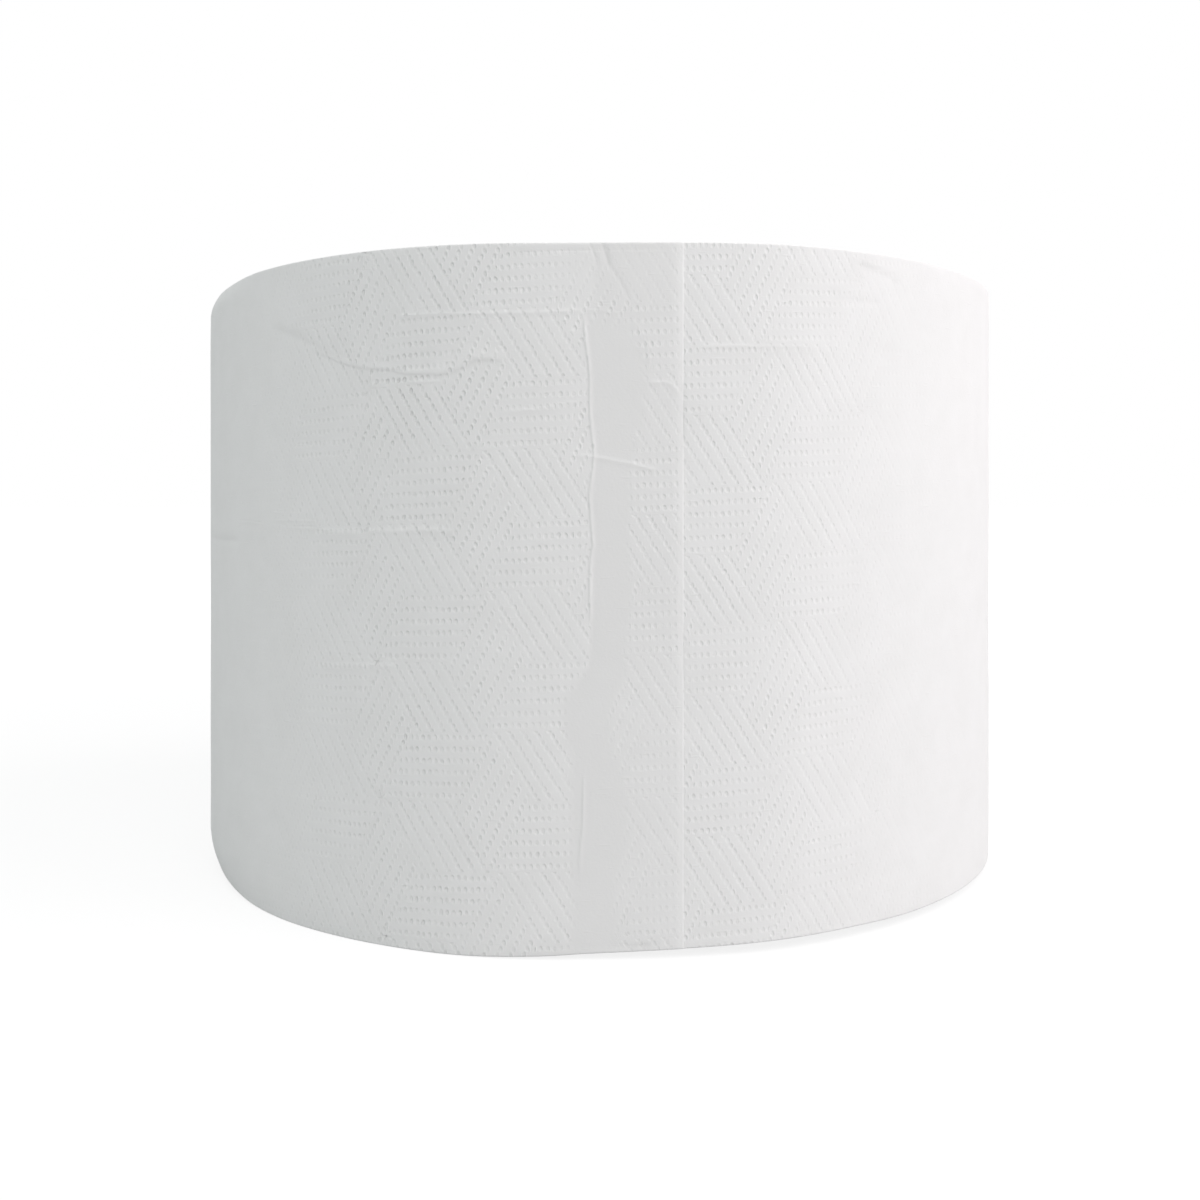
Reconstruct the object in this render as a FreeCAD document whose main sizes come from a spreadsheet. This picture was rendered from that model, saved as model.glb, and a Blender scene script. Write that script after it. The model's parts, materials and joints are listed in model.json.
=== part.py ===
import FreeCAD, Part
import math
import os
import Sketcher
from FreeCAD import Vector

# An industrial paper towel roll: one long sheet wound tightly on a cardboard tube, standing on one end.
# The origin is on the winding axis, in the plane of the lower end, and +Z runs up the axis.
# The sheet's loose end, its tail, is glued down on the -Y side.

doc = FreeCAD.newDocument("paper_towel_roll")

# Driving dimensions, in millimetres and degrees. Every sketch and feature below is bound to these cells.
driving_dimensions = [
    ("roll_radius", 172.0, "axis to the outside of the sheet at its tail edge"),
    ("roll_width", 240.0, "width of the sheet, which is the height of the standing roll"),
    ("sheet_thickness", 0.5, "one embossed sheet where it lies loose, and so the step at the tail edge"),
    ("tail_direction", 279.5, "where the tail edge lies, turning from +X towards +Y"),
    ("rim_rounding", 0.4, "softening of the saw-cut rims, at both ends"),
    ("rounding_limit", 0.9, "most that the rounding takes of the sheet's thickness at the tail edge"),
    ("core_bore_radius", 35.0, "inside of the cardboard tube"),
    ("core_wall", 2.5, "thickness of the cardboard tube"),
]

sizes = doc.addObject("Spreadsheet::Sheet", "Sizes")
for row, (alias, value, meaning) in enumerate(driving_dimensions, start=1):
    sizes.set(f"A{row}", alias)
    sizes.set(f"B{row}", str(value))
    sizes.setAlias(f"B{row}", alias)
    sizes.set(f"C{row}", meaning)
doc.recompute()

# The first turn lies on the outside of the tube.
core_radius = sizes.core_bore_radius + sizes.core_wall
core_radius_formula = "Sizes.core_bore_radius + Sizes.core_wall"

# The outer turn is drawn as four quarter arcs. Each centre stands off the axis by this much, each way.
centre_offset = sizes.sheet_thickness / 8
centre_offset_formula = "Sizes.sheet_thickness / 8"

# How a sketch constraint names the sketch's origin and the points of an arc or a line.
sketch_origin = (-1, 1)
first_point = 1
last_point = 2
centre_point = 3


def new_body(name):
    """An empty body that stands where the roll stands."""
    body = doc.addObject("PartDesign::Body", name)
    body.Label = name
    body.Placement = FreeCAD.Placement()
    return body


def new_sketch(body, name):
    """An empty sketch on the body's own XY plane, which is the plane of the roll's lower end."""
    ground = [plane for plane in body.Origin.OriginFeatures if plane.Role == "XY_Plane"][0]
    sketch = body.newObject("Sketcher::SketchObject", name)
    sketch.AttachmentSupport = [(ground, "")]
    sketch.MapMode = "FlatFace"
    return sketch


def constrain(sketch, *facts):
    sketch.addConstraint(Sketcher.Constraint(*facts))


def constrain_size(sketch, formula, *facts):
    """Add a dimension to the sketch and tie it to the spreadsheet."""
    index = sketch.addConstraint(Sketcher.Constraint(*facts))
    sketch.setExpression(f"Constraints[{index}]", formula)


def add_circle(sketch, radius, radius_formula):
    """A circle about the winding axis."""
    circle = sketch.addGeometry(Part.Circle(Vector(0, 0, 0), Vector(0, 0, 1), radius), False)
    constrain(sketch, "Coincident", circle, centre_point, *sketch_origin)
    constrain_size(sketch, radius_formula, "Radius", circle, radius)


def add_outer_turn(sketch):
    """The outer turn of the sheet: four quarter arcs, closed by the tail's cut edge.

    In the sketch the tail edge lies along +X. The turn runs clockwise from it and comes back one sheet
    lower, so each quarter's radius is a quarter of a sheet under the one before. The four centres are the
    corners of a small square about the axis, which keeps each quarter tangent to the next.
    """
    quarter_turn = math.pi / 2
    square = [(1, 1), (1, -1), (-1, -1), (-1, 1)]
    quarters = []
    for quarter, (side_x, side_y) in enumerate(square):
        centre = Vector(side_x * centre_offset, side_y * centre_offset, 0)
        radius = sizes.roll_radius - (2 * quarter + 1) * centre_offset
        circle = Part.Circle(centre, Vector(0, 0, 1), radius)
        low_angle = -quarter_turn * (quarter + 1)
        arc = Part.ArcOfCircle(circle, low_angle, low_angle + quarter_turn)
        quarters.append(sketch.addGeometry(arc, False))
    outer_lip = Vector(sizes.roll_radius, centre_offset, 0)
    inner_lip = Vector(sizes.roll_radius - sizes.sheet_thickness, centre_offset, 0)
    cut_edge = sketch.addGeometry(Part.LineSegment(inner_lip, outer_lip), False)

    for before, after in zip(quarters, quarters[1:]):
        constrain(sketch, "Tangent", before, first_point, after, last_point)
    constrain(sketch, "Coincident", cut_edge, last_point, quarters[0], last_point)
    constrain(sketch, "Coincident", cut_edge, first_point, quarters[-1], first_point)

    # The quarters meet straight below, beside and above their centres, and the tail edge is level with both.
    constrain(sketch, "Horizontal", quarters[0], last_point, quarters[0], centre_point)
    for arc, direction in zip(quarters, ["Vertical", "Horizontal", "Vertical", "Horizontal"]):
        constrain(sketch, direction, arc, first_point, arc, centre_point)

    first_centre = (*sketch_origin, quarters[0], centre_point, centre_offset)
    constrain_size(sketch, centre_offset_formula, "DistanceX", *first_centre)
    constrain_size(sketch, centre_offset_formula, "DistanceY", *first_centre)
    for quarter, arc in enumerate(quarters):
        offsets = 2 * quarter + 1
        formula = f"Sizes.roll_radius - {offsets} * {centre_offset_formula}"
        constrain_size(sketch, formula, "Radius", arc, sizes.roll_radius - offsets * centre_offset)


def pad_to_width(body, sketch, name):
    """Raise the sketch from the lower end of the roll to the upper end."""
    pad = body.newObject("PartDesign::Pad", name)
    pad.Profile = sketch
    pad.setExpression("Length", "Sizes.roll_width")
    doc.recompute()
    return pad


def rim_edges(solid):
    """Names of the arcs that run round the outside of the roll's two ends."""
    names = []
    for number, edge in enumerate(solid.Edges, start=1):
        is_arc = isinstance(edge.Curve, Part.Circle)
        if is_arc and edge.Curve.Radius > core_radius + sizes.sheet_thickness:
            names.append(f"Edge{number}")
    return names


def make_wound_towel():
    """All the turns of the sheet as one solid, whose first turn lies on the tube."""
    body = new_body("wound_towel")
    outline = new_sketch(body, "winding_outline")
    outline.setExpression("AttachmentOffset.Rotation.Angle", "Sizes.tail_direction * 1 deg")
    add_outer_turn(outline)
    add_circle(outline, core_radius, core_radius_formula)
    doc.recompute()
    winding = pad_to_width(body, outline, "winding")
    rims = body.newObject("PartDesign::Fillet", "rims")
    rims.Base = (winding, rim_edges(winding.Shape))
    rims.setExpression("Radius", "min(Sizes.rim_rounding; Sizes.rounding_limit * Sizes.sheet_thickness)")
    return body


def make_core_tube():
    """The cardboard tube, cut flush with the sheet at both ends. Its bore takes the dispenser's spindle."""
    body = new_body("core_tube")
    section = new_sketch(body, "tube_section")
    add_circle(section, core_radius, core_radius_formula)
    add_circle(section, sizes.core_bore_radius, "Sizes.core_bore_radius")
    doc.recompute()
    pad_to_width(body, section, "tube")
    return body


bodies = [make_wound_towel(), make_core_tube()]
doc.recompute()

for item in doc.Objects:
    if "Invalid" in item.State or "Error" in item.State:
        raise RuntimeError(f"{item.Label} did not build")
for body in bodies:
    if body.Shape.isNull() or not body.Shape.isValid() or len(body.Shape.Solids) != 1:
        raise RuntimeError(f"{body.Label} is not one sound solid")

os.makedirs("parts", exist_ok=True)
for body in bodies:
    body.Shape.exportStep(f"parts/{body.Label}.step")
    print(f"{body.Label}: {body.Shape.Volume / 1000:.0f} cm3")
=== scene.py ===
import json
import math
import bpy
import numpy as np
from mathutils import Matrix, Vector


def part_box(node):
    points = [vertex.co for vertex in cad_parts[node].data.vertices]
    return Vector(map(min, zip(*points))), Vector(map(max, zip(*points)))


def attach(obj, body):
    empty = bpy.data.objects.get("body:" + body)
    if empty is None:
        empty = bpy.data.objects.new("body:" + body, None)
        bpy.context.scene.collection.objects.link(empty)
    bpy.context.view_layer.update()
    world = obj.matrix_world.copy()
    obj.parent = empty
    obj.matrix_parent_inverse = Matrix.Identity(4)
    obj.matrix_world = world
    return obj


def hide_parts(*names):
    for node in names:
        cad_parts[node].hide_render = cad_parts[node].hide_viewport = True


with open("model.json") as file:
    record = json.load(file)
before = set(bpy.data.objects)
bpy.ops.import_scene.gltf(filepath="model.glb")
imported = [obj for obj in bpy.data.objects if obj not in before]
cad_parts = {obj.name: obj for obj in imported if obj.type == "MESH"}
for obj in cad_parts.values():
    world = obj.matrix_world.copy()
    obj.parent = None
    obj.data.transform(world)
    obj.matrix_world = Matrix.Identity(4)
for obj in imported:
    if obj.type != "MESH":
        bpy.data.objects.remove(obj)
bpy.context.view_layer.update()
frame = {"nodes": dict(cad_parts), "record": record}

mm = 0.001
print("frame loaded:", ", ".join(sorted(frame["nodes"])))

# What the construction gives: the wound sheet, and the tube that it is wound on.
towelLow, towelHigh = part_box("wound_towel")
rollRadius = -towelLow.y
rollHeight = towelHigh.z
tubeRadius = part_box("core_tube")[1].x


def deselectAll():
    bpy.ops.object.select_all(action="DESELECT")


def setMode(mode):
    bpy.ops.object.mode_set(mode=mode)


def makeActive(piece):
    deselectAll()
    piece.select_set(True)
    bpy.context.view_layer.objects.active = piece


def editOnly(piece):
    # Makes the piece active, with nothing picked in it.
    makeActive(piece)
    setMode("EDIT")
    bpy.ops.mesh.select_mode(type="EDGE")
    bpy.ops.mesh.select_all(action="DESELECT")
    setMode("OBJECT")


def readPoints(mesh):
    flat = np.empty(len(mesh.vertices) * 3)
    mesh.vertices.foreach_get("co", flat)
    return flat.reshape(-1, 3)


def writePoints(mesh, points):
    mesh.vertices.foreach_set("co", points.ravel())
    mesh.update()


def aroundAxis(distance, angle, height):
    # Places in metres, from a distance and a height in millimetres and an angle to the right of the front.
    return np.stack([distance * np.sin(angle), -distance * np.cos(angle), height], axis=1) * mm


def edgeEnds(mesh):
    ends = np.empty(len(mesh.edges) * 2, np.int32)
    mesh.edges.foreach_get("vertices", ends)
    return ends.reshape(-1, 2)


def faceNormals(mesh):
    flat = np.empty(len(mesh.polygons) * 3)
    mesh.polygons.foreach_get("normal", flat)
    return flat.reshape(-1, 3)


def countTriangles(mesh):
    return sum(len(face.vertices) - 2 for face in mesh.polygons)


def pickEdges(piece, chosen, ends=2):
    # Goes into edit mode with only those edges picked that have this many ends among the chosen points.
    # Picks made in object mode hold only if the edges' ends are picked too.
    editOnly(piece)
    mesh = piece.data
    wanted = chosen[edgeEnds(mesh)].sum(axis=1) == ends
    picked = np.zeros(len(mesh.vertices), bool)
    picked[edgeEnds(mesh)[wanted].ravel()] = True
    mesh.vertices.foreach_set("select", picked)
    mesh.edges.foreach_set("select", wanted)
    mesh.polygons.foreach_set("select", np.zeros(len(mesh.polygons), bool))
    setMode("EDIT")


def weldPoints(piece, distance):
    editOnly(piece)
    setMode("EDIT")
    bpy.ops.mesh.select_all(action="SELECT")
    bpy.ops.mesh.remove_doubles(threshold=distance)
    bpy.ops.mesh.select_all(action="DESELECT")
    setMode("OBJECT")


def bridgeAndClose(piece, rimPoints):
    # Joins the two rims, then turns every face outwards.
    pickEdges(piece, rimPoints)
    bpy.ops.mesh.bridge_edge_loops()
    bpy.ops.mesh.select_all(action="SELECT")
    bpy.ops.mesh.normals_make_consistent(inside=False)
    bpy.ops.mesh.select_all(action="DESELECT")
    setMode("OBJECT")


def shadeByAngle(piece, degrees):
    makeActive(piece)
    bpy.ops.object.shade_smooth_by_angle(angle=math.radians(degrees))


def layGrid(name, columnCount, rowCount):
    # A flat grid, with the column and the row of each of its points.
    deselectAll()
    bpy.ops.mesh.primitive_grid_add(x_subdivisions=columnCount - 1, y_subdivisions=rowCount - 1, size=1)
    piece = bpy.context.object
    piece.name = name
    piece.data.name = name
    flat = readPoints(piece.data)
    column = np.rint((flat[:, 0] + 0.5) * (columnCount - 1)).astype(int)
    row = np.rint((flat[:, 1] + 0.5) * (rowCount - 1)).astype(int)
    return piece, column, row


def mapFlat(mesh, name, x, y):
    # Keeps each point's place on the flat sheet in a map, in metres.
    corners = np.empty(len(mesh.loops), np.int32)
    mesh.loops.foreach_get("vertex_index", corners)
    mesh.uv_layers[0].name = name
    mesh.uv_layers[0].uv.foreach_set("vector", (np.stack([x, y], axis=1)[corners] * mm).ravel())


def steppedDistances(zones):
    # Distances from 0 to the last zone's end. Each zone is (where it ends, how far apart its lines are).
    distances = [0.0]
    for end, spacing in zones:
        start = distances[-1]
        count = max(1, round((end - start) / spacing))
        distances += [start + (end - start) * (i + 1) / count for i in range(count)]
    return np.array(distances)


def smoothStep(low, high, value):
    t = np.clip((value - low) / (high - low), 0, 1)
    return t * t * (3 - 2 * t)


def smoothPath(points, perSpan=6):
    # A rounded line through the points.
    points = np.array(points, float)
    padded = np.vstack([2 * points[0] - points[1], points, 2 * points[-1] - points[-2]])
    line = []
    for a, b, c, d in zip(padded, padded[1:], padded[2:], padded[3:]):
        for t in np.arange(perSpan) / perSpan:
            line.append(0.5 * (2 * b + (c - a) * t + (2 * a - 5 * b + 4 * c - d) * t ** 2
                               + (3 * b - a - 3 * c + d) * t ** 3))
    line.append(points[-1])
    return np.array(line)


def softWaves(seed, count, shortest, longest):
    # A gentle random surface: long waves in all directions. Returns a function of two lengths, about -1 to 1.
    dice = np.random.default_rng(seed)
    lengths = dice.uniform(shortest, longest, count)
    headings = dice.uniform(0, 2 * math.pi, count)
    starts = dice.uniform(0, 2 * math.pi, count)

    def height(x, y):
        total = np.zeros_like(x, float)
        for length, heading, start in zip(lengths, headings, starts):
            total += np.sin((x * math.cos(heading) + y * math.sin(heading)) * 2 * math.pi / length + start)
        return total / math.sqrt(count)
    return height


# The wound towel. Lengths are in millimetres, and "back" is how far back along the sheet from the edge of its
# tail, which is to the left of that edge as seen from the front.
towel = {
    "sheetThickness": 0.5,
    "tailAngle": 9.48,  # degrees to the right of the front
    "skinInset": 0.5,  # the skin lies this far inside its full size, so a crease can rise
    "rimRounding": 0.45,
    "smoothAngle": 50,  # edges sharper than this, in degrees, stay sharp
    "rimLine": 0.3,  # how far past the rounding the next row lies
    "lipThickness": 0.17,  # what the cutter left of the sheet's thickness at the tail's edge
    "lipLine": [(-0.14, 0), (-0.10, 0.35), (-0.04, 0.75), (0.04, 1)],  # (back, share of the lip climbed)
    "tailLight": 0.08,  # a painted highlight: how much lighter the sheet is along that edge
    "tailLightReach": (2.7, 1.7),
    "rampLength": 2.2,  # how far back from the edge the sheet bends down to the turn below
    "rampShare": 0.5,  # how much of the way down is in that bend
    "settleLength": 24,  # how far back the rest of the way down begins
    "rampCurve": 1.5,
    "slackDepth": 0.07,  # how far the sheet swells and dips
    "slackWaves": (26, 28, 110),  # in how many waves, the shortest, and the longest
    "gluedSink": 0.10,  # how far the glue has drawn the sheet in
    "rimCrease": (0.25, 2.5),  # the share of a crease that reaches the rims, and how far from them it grows
    "columnZones": [(2.4, 0.3), (10, 1.0), (29.4, 0.6), (34.8, 0.22), (36.6, 0.45), (60, 1.3),
                    (150, 1.35), (240, 2.4), (880, 7.4), (990, 2.9)],
    "lastColumns": 1.2,
    "weldDistance": 0.004,
    "footGap": 0.6,  # where the last column ends before the foot of the lip
    "rowZones": [(3.6, 1.2), (5.8, 0.4), (34, 3.6), (92, 3.4), (94, 1.0), (98, 0.6), (134, 3.6),
                 (141.4, 0.9), (147, 0.5), (161, 3.0), (162.5, 0.8), (169, 0.5), (180, 2.8), (187, 0.6),
                 (190, 1.0), (194, 0.55), (205, 0.6), (212, 1.1), (218, 0.5), (234.6, 1.7), (237.4, 0.4)],
    "topRows": (1.6, 1.0),  # where the rows end below the top, and how far apart the last ones are
    # Degrees to the right of the front, and how far the saw left the lower rim up and the upper rim down.
    "lowerRim": [(-180, 0.8), (-120, 1.2), (-75, 1.5), (-58, 1.1), (-50, 0.4), (-39, 0.0), (-28, 0.0),
                 (-17, 0.1), (-11, 0.5), (-6, 1.1), (-1, 2.0), (8, 2.8), (20, 3.5), (31, 3.8), (40, 3.4),
                 (55, 3.3), (90, 2.4), (140, 1.2)],
    "upperRim": [(-180, 0.9), (-120, 1.7), (-85, 2.6), (-68, 3.3), (-60, 3.2), (-52, 2.5), (-45, 1.9),
                 (-39, 1.5), (-27, 1.1), (-16, 1.2), (-5, 1.4), (3, 1.2), (14, 0.6), (25, 0.1), (45, 0.0),
                 (90, 0.0), (140, 0.3)],
    # How far the rims are pushed in, as (degrees round the roll, millimetres), and how high up that reaches.
    "lowerPush": [(-180, 0.2), (-140, 0.5), (-110, 1.6), (-85, 2.9), (-70, 3.3), (-62, 2.7), (-56, 1.7),
                  (-50, 0.7), (-44, 0.15), (-38, 0.0), (0, 0.0), (90, 0.2), (140, 0.1)],
    "upperPush": [(-180, 0.1), (-140, 0.5), (-110, 1.4), (-85, 2.6), (-70, 2.9), (-62, 2.3), (-56, 1.5),
                  (-50, 0.4), (-44, 0.0), (0, 0.0), (90, 0.2), (140, 0.1)],
    "pushHeight": (15, 8),
    # The front is a little flat: where that is, how far it reaches each way, and how deep it is.
    "flatBack": 20,
    "flatReach": 66,
    "flatDepth": 3.2,
    # How deep the emboss is, at degrees round the roll.
    "pressed": [(-180, 1.0), (-120, 1.0), (-95, 0.5), (-80, 0.2), (-62, 0.15), (-54, 0.12), (-47, 0.18),
                (-40, 0.48), (-33, 1.05), (-25, 1.5), (-16, 1.5), (-8, 1.1), (4, 1.1), (11, 1.1),
                (18, 0.95), (26, 0.8), (33, 0.46), (40, 0.22), (48, 0.09), (58, 0.08), (75, 0.15),
                (95, 0.5), (130, 1.0)],
    # Where the emboss is deeper or less deep: the change, then each side of the patch as (none, all) of it:
    # its foot by height, and its near and far sides by back.
    "pressedPatches": [(0.3, (140, 195), (45, 70), (165, 130)), (-0.75, (215, 224), (0, 4), (46, 34))],
    "embossDrift": (-2.1, 20.1),  # how far the emboss falls out of step with the sheet over one turn
    "driftPart": (0.25, 0.8),  # the part of the turn in which it does
    "seed": 11,
}

# Creases in the outer sheet: how far each rises, its width, its lean, how much painted shade darkens the
# fold's foot, how much painted highlight lightens its crest, and its points as (back, height). A lean says
# how many times as wide as the steep side the soft side is, and its sign says which side that is. A lean of 0
# has two even sides.
creases = {
    "gluePucker": (0.18, 0.46, -1.4, 0.36, 0.33, [(33.5, 215.4), (33.3, 208), (32.5, 202), (31.7, 194.6),
        (31.6, 182), (30.8, 174.4), (30.2, 169), (30.6, 163.6), (31.2, 158.8), (31.8, 154), (31.4, 149),
        (31, 143), (30.6, 138), (31.1, 134.6), (31.5, 130), (31.6, 124), (31.3, 107.4)]),
    "lowerPucker": (0.12, 0.42, -1.4, 0.28, 0.25, [(33.6, 62), (33.9, 52), (34, 44), (34.8, 37),
        (35.2, 28)]),
    "wrinkleStart": (-0.2, 2, 0, 0.2, 0, [(162, 217), (152, 213.6), (144.6, 211), (136.9, 208),
        (129.6, 204.8), (120.8, 201.5)]),
    "wrinkleMiddle": (0.2, 0.5, -2.6, 0.37, 0.2, [(140, 207.6), (131.6, 204.4), (122.8, 201.2),
        (115.1, 199.2), (110.2, 198.7), (103.1, 197.9), (96.2, 196.4), (90.1, 196), (82, 195.7)]),
    "wrinkleEnd": (0.26, 0.95, -2.6, 0.24, 0.3, [(86.7, 195.4), (82, 196.3), (76.6, 197.9),
        (72.4, 200.2), (68.6, 200.8), (59.3, 200.2)]),
    "underCrease": (0.1, 0.4, 0, 0, 0.5, [(94.8, 193), (87.7, 193.1), (80.6, 192.8)]),
    "slantCrease": (0.12, 0.45, 2.6, 0.1, 0.4, [(60.3, 182.6), (52.1, 183.2), (46.2, 184), (40.4, 185.1),
        (33.9, 186.3)]),
    "shoulderCrease": (0.18, 0.45, 2.6, 0.15, 0.55, [(99.8, 215.6), (87.7, 216.1), (73.3, 215.6),
        (50.6, 215.6), (33.6, 216.3)]),
    "shoulderTrace": (0.08, 0.42, 2.6, 0.15, 0.25, [(34.5, 216.2), (27.5, 216.3), (20.6, 215.2)]),
    "beltStep": (0.16, 0.4, 2.6, 0.4, 0.5, [(161.4, 145.6), (148, 145.8), (134.9, 145.8)]),
    "beltLower": (0.1, 0.4, 2.6, 0.3, 0.3, [(158, 143.2), (146, 143.2), (135, 143)]),
    "beltTail": (0.1, 0.4, 2.6, 0.35, 0.35, [(190, 144.4), (180, 144.5), (168, 144.3)]),
    "beltPatch": (0.18, 0.9, 2.6, 0, 0.5, [(133.5, 142.1), (124, 142.1), (114, 142.2)]),
    "beltCrease": (0.16, 0.6, 2.6, 0, 0.45, [(116, 142.4), (100, 142.6), (88.1, 143.1), (77, 142.9)]),
    "leftDent": (-0.25, 1.4, 0, 0.22, 0, [(236, 137.5), (222, 137.2), (204, 137.3), (188.7, 137.6)]),
    "lowCrease": (0.14, 0.5, 2.6, 0, 0.45, [(133.3, 94.6), (115.5, 95.8), (97.7, 96.5)]),
    "bandCrease": (0.13, 0.42, 2.6, 0, 0.38, [(38.5, 168), (30.3, 167.5), (23.1, 166.2), (17.3, 165.2),
        (12.5, 163.8), (8.2, 163.2)]),
    "tailShort": (0.14, 0.42, 2.6, 0.1, 0.5, [(13.2, 192.1), (7.1, 192.4), (4.2, 191.9), (0.8, 188.6)]),
    "collarFold": (-0.2, 0.5, 0, 0.4, 0, [(29, 243.5), (27, 237), (25, 231.5), (22, 227.3), (17.7, 219.4)]),
    "collarMouth": (-0.12, 1.1, 0, 0.22, 0, [(28.6, 247), (27.6, 240), (26.4, 235), (25, 230.5)]),
    "collarPleat": (-0.1, 0.45, 0, 0.2, 0, [(33, 241.6), (30.6, 235.5), (28.5, 230)]),
    "collarTuck": (0.14, 0.42, 1.4, 0.5, 0.3, [(17.3, 211.1), (14.1, 207.9), (12.7, 205.7),
        (11.4, 200.8), (11.8, 195.3)]),
    "upperPlyLine": (-0.1, 0.3, 0, 0.3, 0, [(58, 235.6), (30, 236.2), (2, 236.8)]),
    "lowerPlyLine": (-0.1, 0.3, 0, 0.35, 0, [(44, 4.4), (24, 4.9), (9, 5)]),
    "sideCrease": (0.14, 0.6, 2.6, 0.1, 0.4, [(1072.1, 204.4), (1050.4, 205.5), (1025.7, 206.1)]),
    "sideFold": (-0.14, 1.1, 0, 0.25, 0, [(1024, 224.2), (1012, 223.7), (997, 223.6)]),
    "shoulderFold": (-0.14, 1.2, 0, 0.25, 0, [(1010, 235.6), (998, 233.8), (987, 230.7)]),
}
creaseShape = {
    "reach": 6,  # how far out a crease is worked out, in its widths
    "endFade": 5,  # over how many millimetres its ends die out
    "mostFade": 0.12,  # and the most that may be of its length
    "footPlace": 1.25,  # how far the shade lies from the crest, in widths
    "lineWidth": 0.6,  # how wide the shade and the light are, in widths
}


def creaseRelief(crease, back, height):
    # How far this crease lifts the sheet at each place, and how much of its painted shade and its painted
    # highlight falls there.
    rise, width, lean, footShade, crestLight, path = crease
    line = smoothPath(path)
    reach = creaseShape["reach"] * width
    low, high = line.min(axis=0) - reach, line.max(axis=0) + reach
    near = (back > low[0]) & (back < high[0]) & (height > low[1]) & (height < high[1])
    x, y = back[near], height[near]
    nearest = np.full(len(x), 1e9)
    side = np.zeros(len(x))
    along = np.zeros(len(x))
    for i, (start, end) in enumerate(zip(line, line[1:])):
        run = end - start
        share = np.clip(((x - start[0]) * run[0] + (y - start[1]) * run[1]) / (run @ run), 0, 1)
        offX, offY = x - start[0] - share * run[0], y - start[1] - share * run[1]
        gap = np.hypot(offX, offY)
        closer = gap < nearest
        nearest = np.where(closer, gap, nearest)
        side = np.where(closer, np.sign(run[0] * offY - run[1] * offX), side)
        along = np.where(closer, (i + share) / (len(line) - 1), along)
    softness = np.where(side * lean > 0, abs(lean), 1)
    shape = np.exp(-(nearest / (width * softness)) ** 2)
    length = np.hypot(*np.diff(line, axis=0).T).sum()
    ends = min(creaseShape["mostFade"], creaseShape["endFade"] / length)
    fade = smoothStep(0, ends, along) * smoothStep(0, ends, 1 - along)
    # The painted shade lies at the foot of the steep side.
    signed = nearest * side * (-1 if lean < 0 else 1)
    shadeAt = -creaseShape["footPlace"] * width if lean else 0
    lineWidth = creaseShape["lineWidth"] * width
    shadeShape = np.exp(-((signed - shadeAt) / lineWidth) ** 2)
    lightShape = np.exp(-(nearest / lineWidth) ** 2)
    lift, shade, light = np.zeros((3, len(back)))
    lift[near] = rise * shape * fade
    shade[near] = footShade * shadeShape * fade
    light[near] = crestLight * lightShape * fade
    return lift, shade, light


# The strip under the tail where glue has flattened and dulled the sheet. Pairs give where a change starts and
# where it ends.
glue = {
    "nearEdge": [(0, 21.5), (25, 23), (38, 19), (60, 20), (72, 23.5), (86, 24), (95, 20.5), (125, 18.2),
                 (155, 19), (175, 15.7), (196, 13.2), (210, 17.5), (240, 18)],  # (height, back)
    "farEdge": [(0, 38.4), (55, 38.2), (65, 38.4), (73, 40.0), (84, 40.8), (91, 37.2), (97, 32.8),
                (107, 31.9), (134, 31.4), (143, 31.4), (153, 32.3), (162, 31.4), (168, 30.6), (174, 31.3),
                (187, 32.0), (204, 32.9), (215, 33.6), (240, 33.6)],
    "raggedness": 0.7,  # how far the near edge wanders
    "farShare": 0.4,  # the far edge's share of that
    "wander": (9, 5, 18),  # in how many waves, the shortest, and the longest
    "stretch": 0.3,
    "lowerPart": (104, 84),  # heights below which the edges are softer and the glue shows less
    "upperPart": (196, 222),  # heights above which it shows more
    "upperEnd": (220, 208),
    "blur": (1.3, 1.6),  # how soft the edges are, and how much softer in the lower part
    "nearBlur": 1.3,
    "farBlur": 0.8,
    "front": (-0.5, 0.5),  # the sheet from the tail's edge to the strip is flattened a little too
    "frontBlend": 4,
    "frontPress": (0.25, 0.2),  # how much, and how much more in the lower part
    "tint": 0.72,
    "lowerTint": 0.3,  # how much less it shows in the lower part
    "upperTint": 0.2,
    "stripTint": 0.2,  # how much less the flattened strip itself shows in the lower part
    "tintFront": (1.5, 5),
    "tintBack": (31.5, 28.5),
}


def gluedBand(back, height):
    # 1 where the glue under the tail has flattened the emboss, a little in front of there, and 0 elsewhere.
    near, far = (smoothPath(glue[edge]) for edge in ("nearEdge", "farEdge"))
    waves = softWaves(towel["seed"] + 1, *glue["wander"])
    ragged = glue["raggedness"] * waves(back * glue["stretch"], height)
    nearEdge = np.interp(height, near[:, 0], near[:, 1]) + ragged
    farEdge = np.interp(height, far[:, 0], far[:, 1]) + glue["farShare"] * ragged
    low = smoothStep(*glue["lowerPart"], height)
    blur = glue["blur"][0] + glue["blur"][1] * low
    nearBlur, farBlur = glue["nearBlur"] * blur, glue["farBlur"] * blur
    inBand = smoothStep(nearEdge - nearBlur, nearEdge + blur, back)
    inBand *= smoothStep(farEdge + farBlur, farEdge - farBlur, back)
    inFront = smoothStep(*glue["front"], back) * smoothStep(nearEdge + glue["frontBlend"], nearEdge, back)
    inBand = np.maximum(inBand, inFront * (glue["frontPress"][0] + glue["frontPress"][1] * low))
    return inBand * smoothStep(*glue["upperEnd"], height)


def gluedTint(back, height, glued):
    # How much the glue dulls the sheet: most where it has flattened it, and less from there to the tail.
    low, top = smoothStep(*glue["lowerPart"], height), smoothStep(*glue["upperPart"], height)
    ahead = smoothStep(*glue["tintFront"], back) * smoothStep(*glue["tintBack"], back)
    share = glue["tint"] - glue["lowerTint"] * low + glue["upperTint"] * top
    return np.maximum(glued * (1 - glue["stripTint"] * low), ahead * share)


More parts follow.
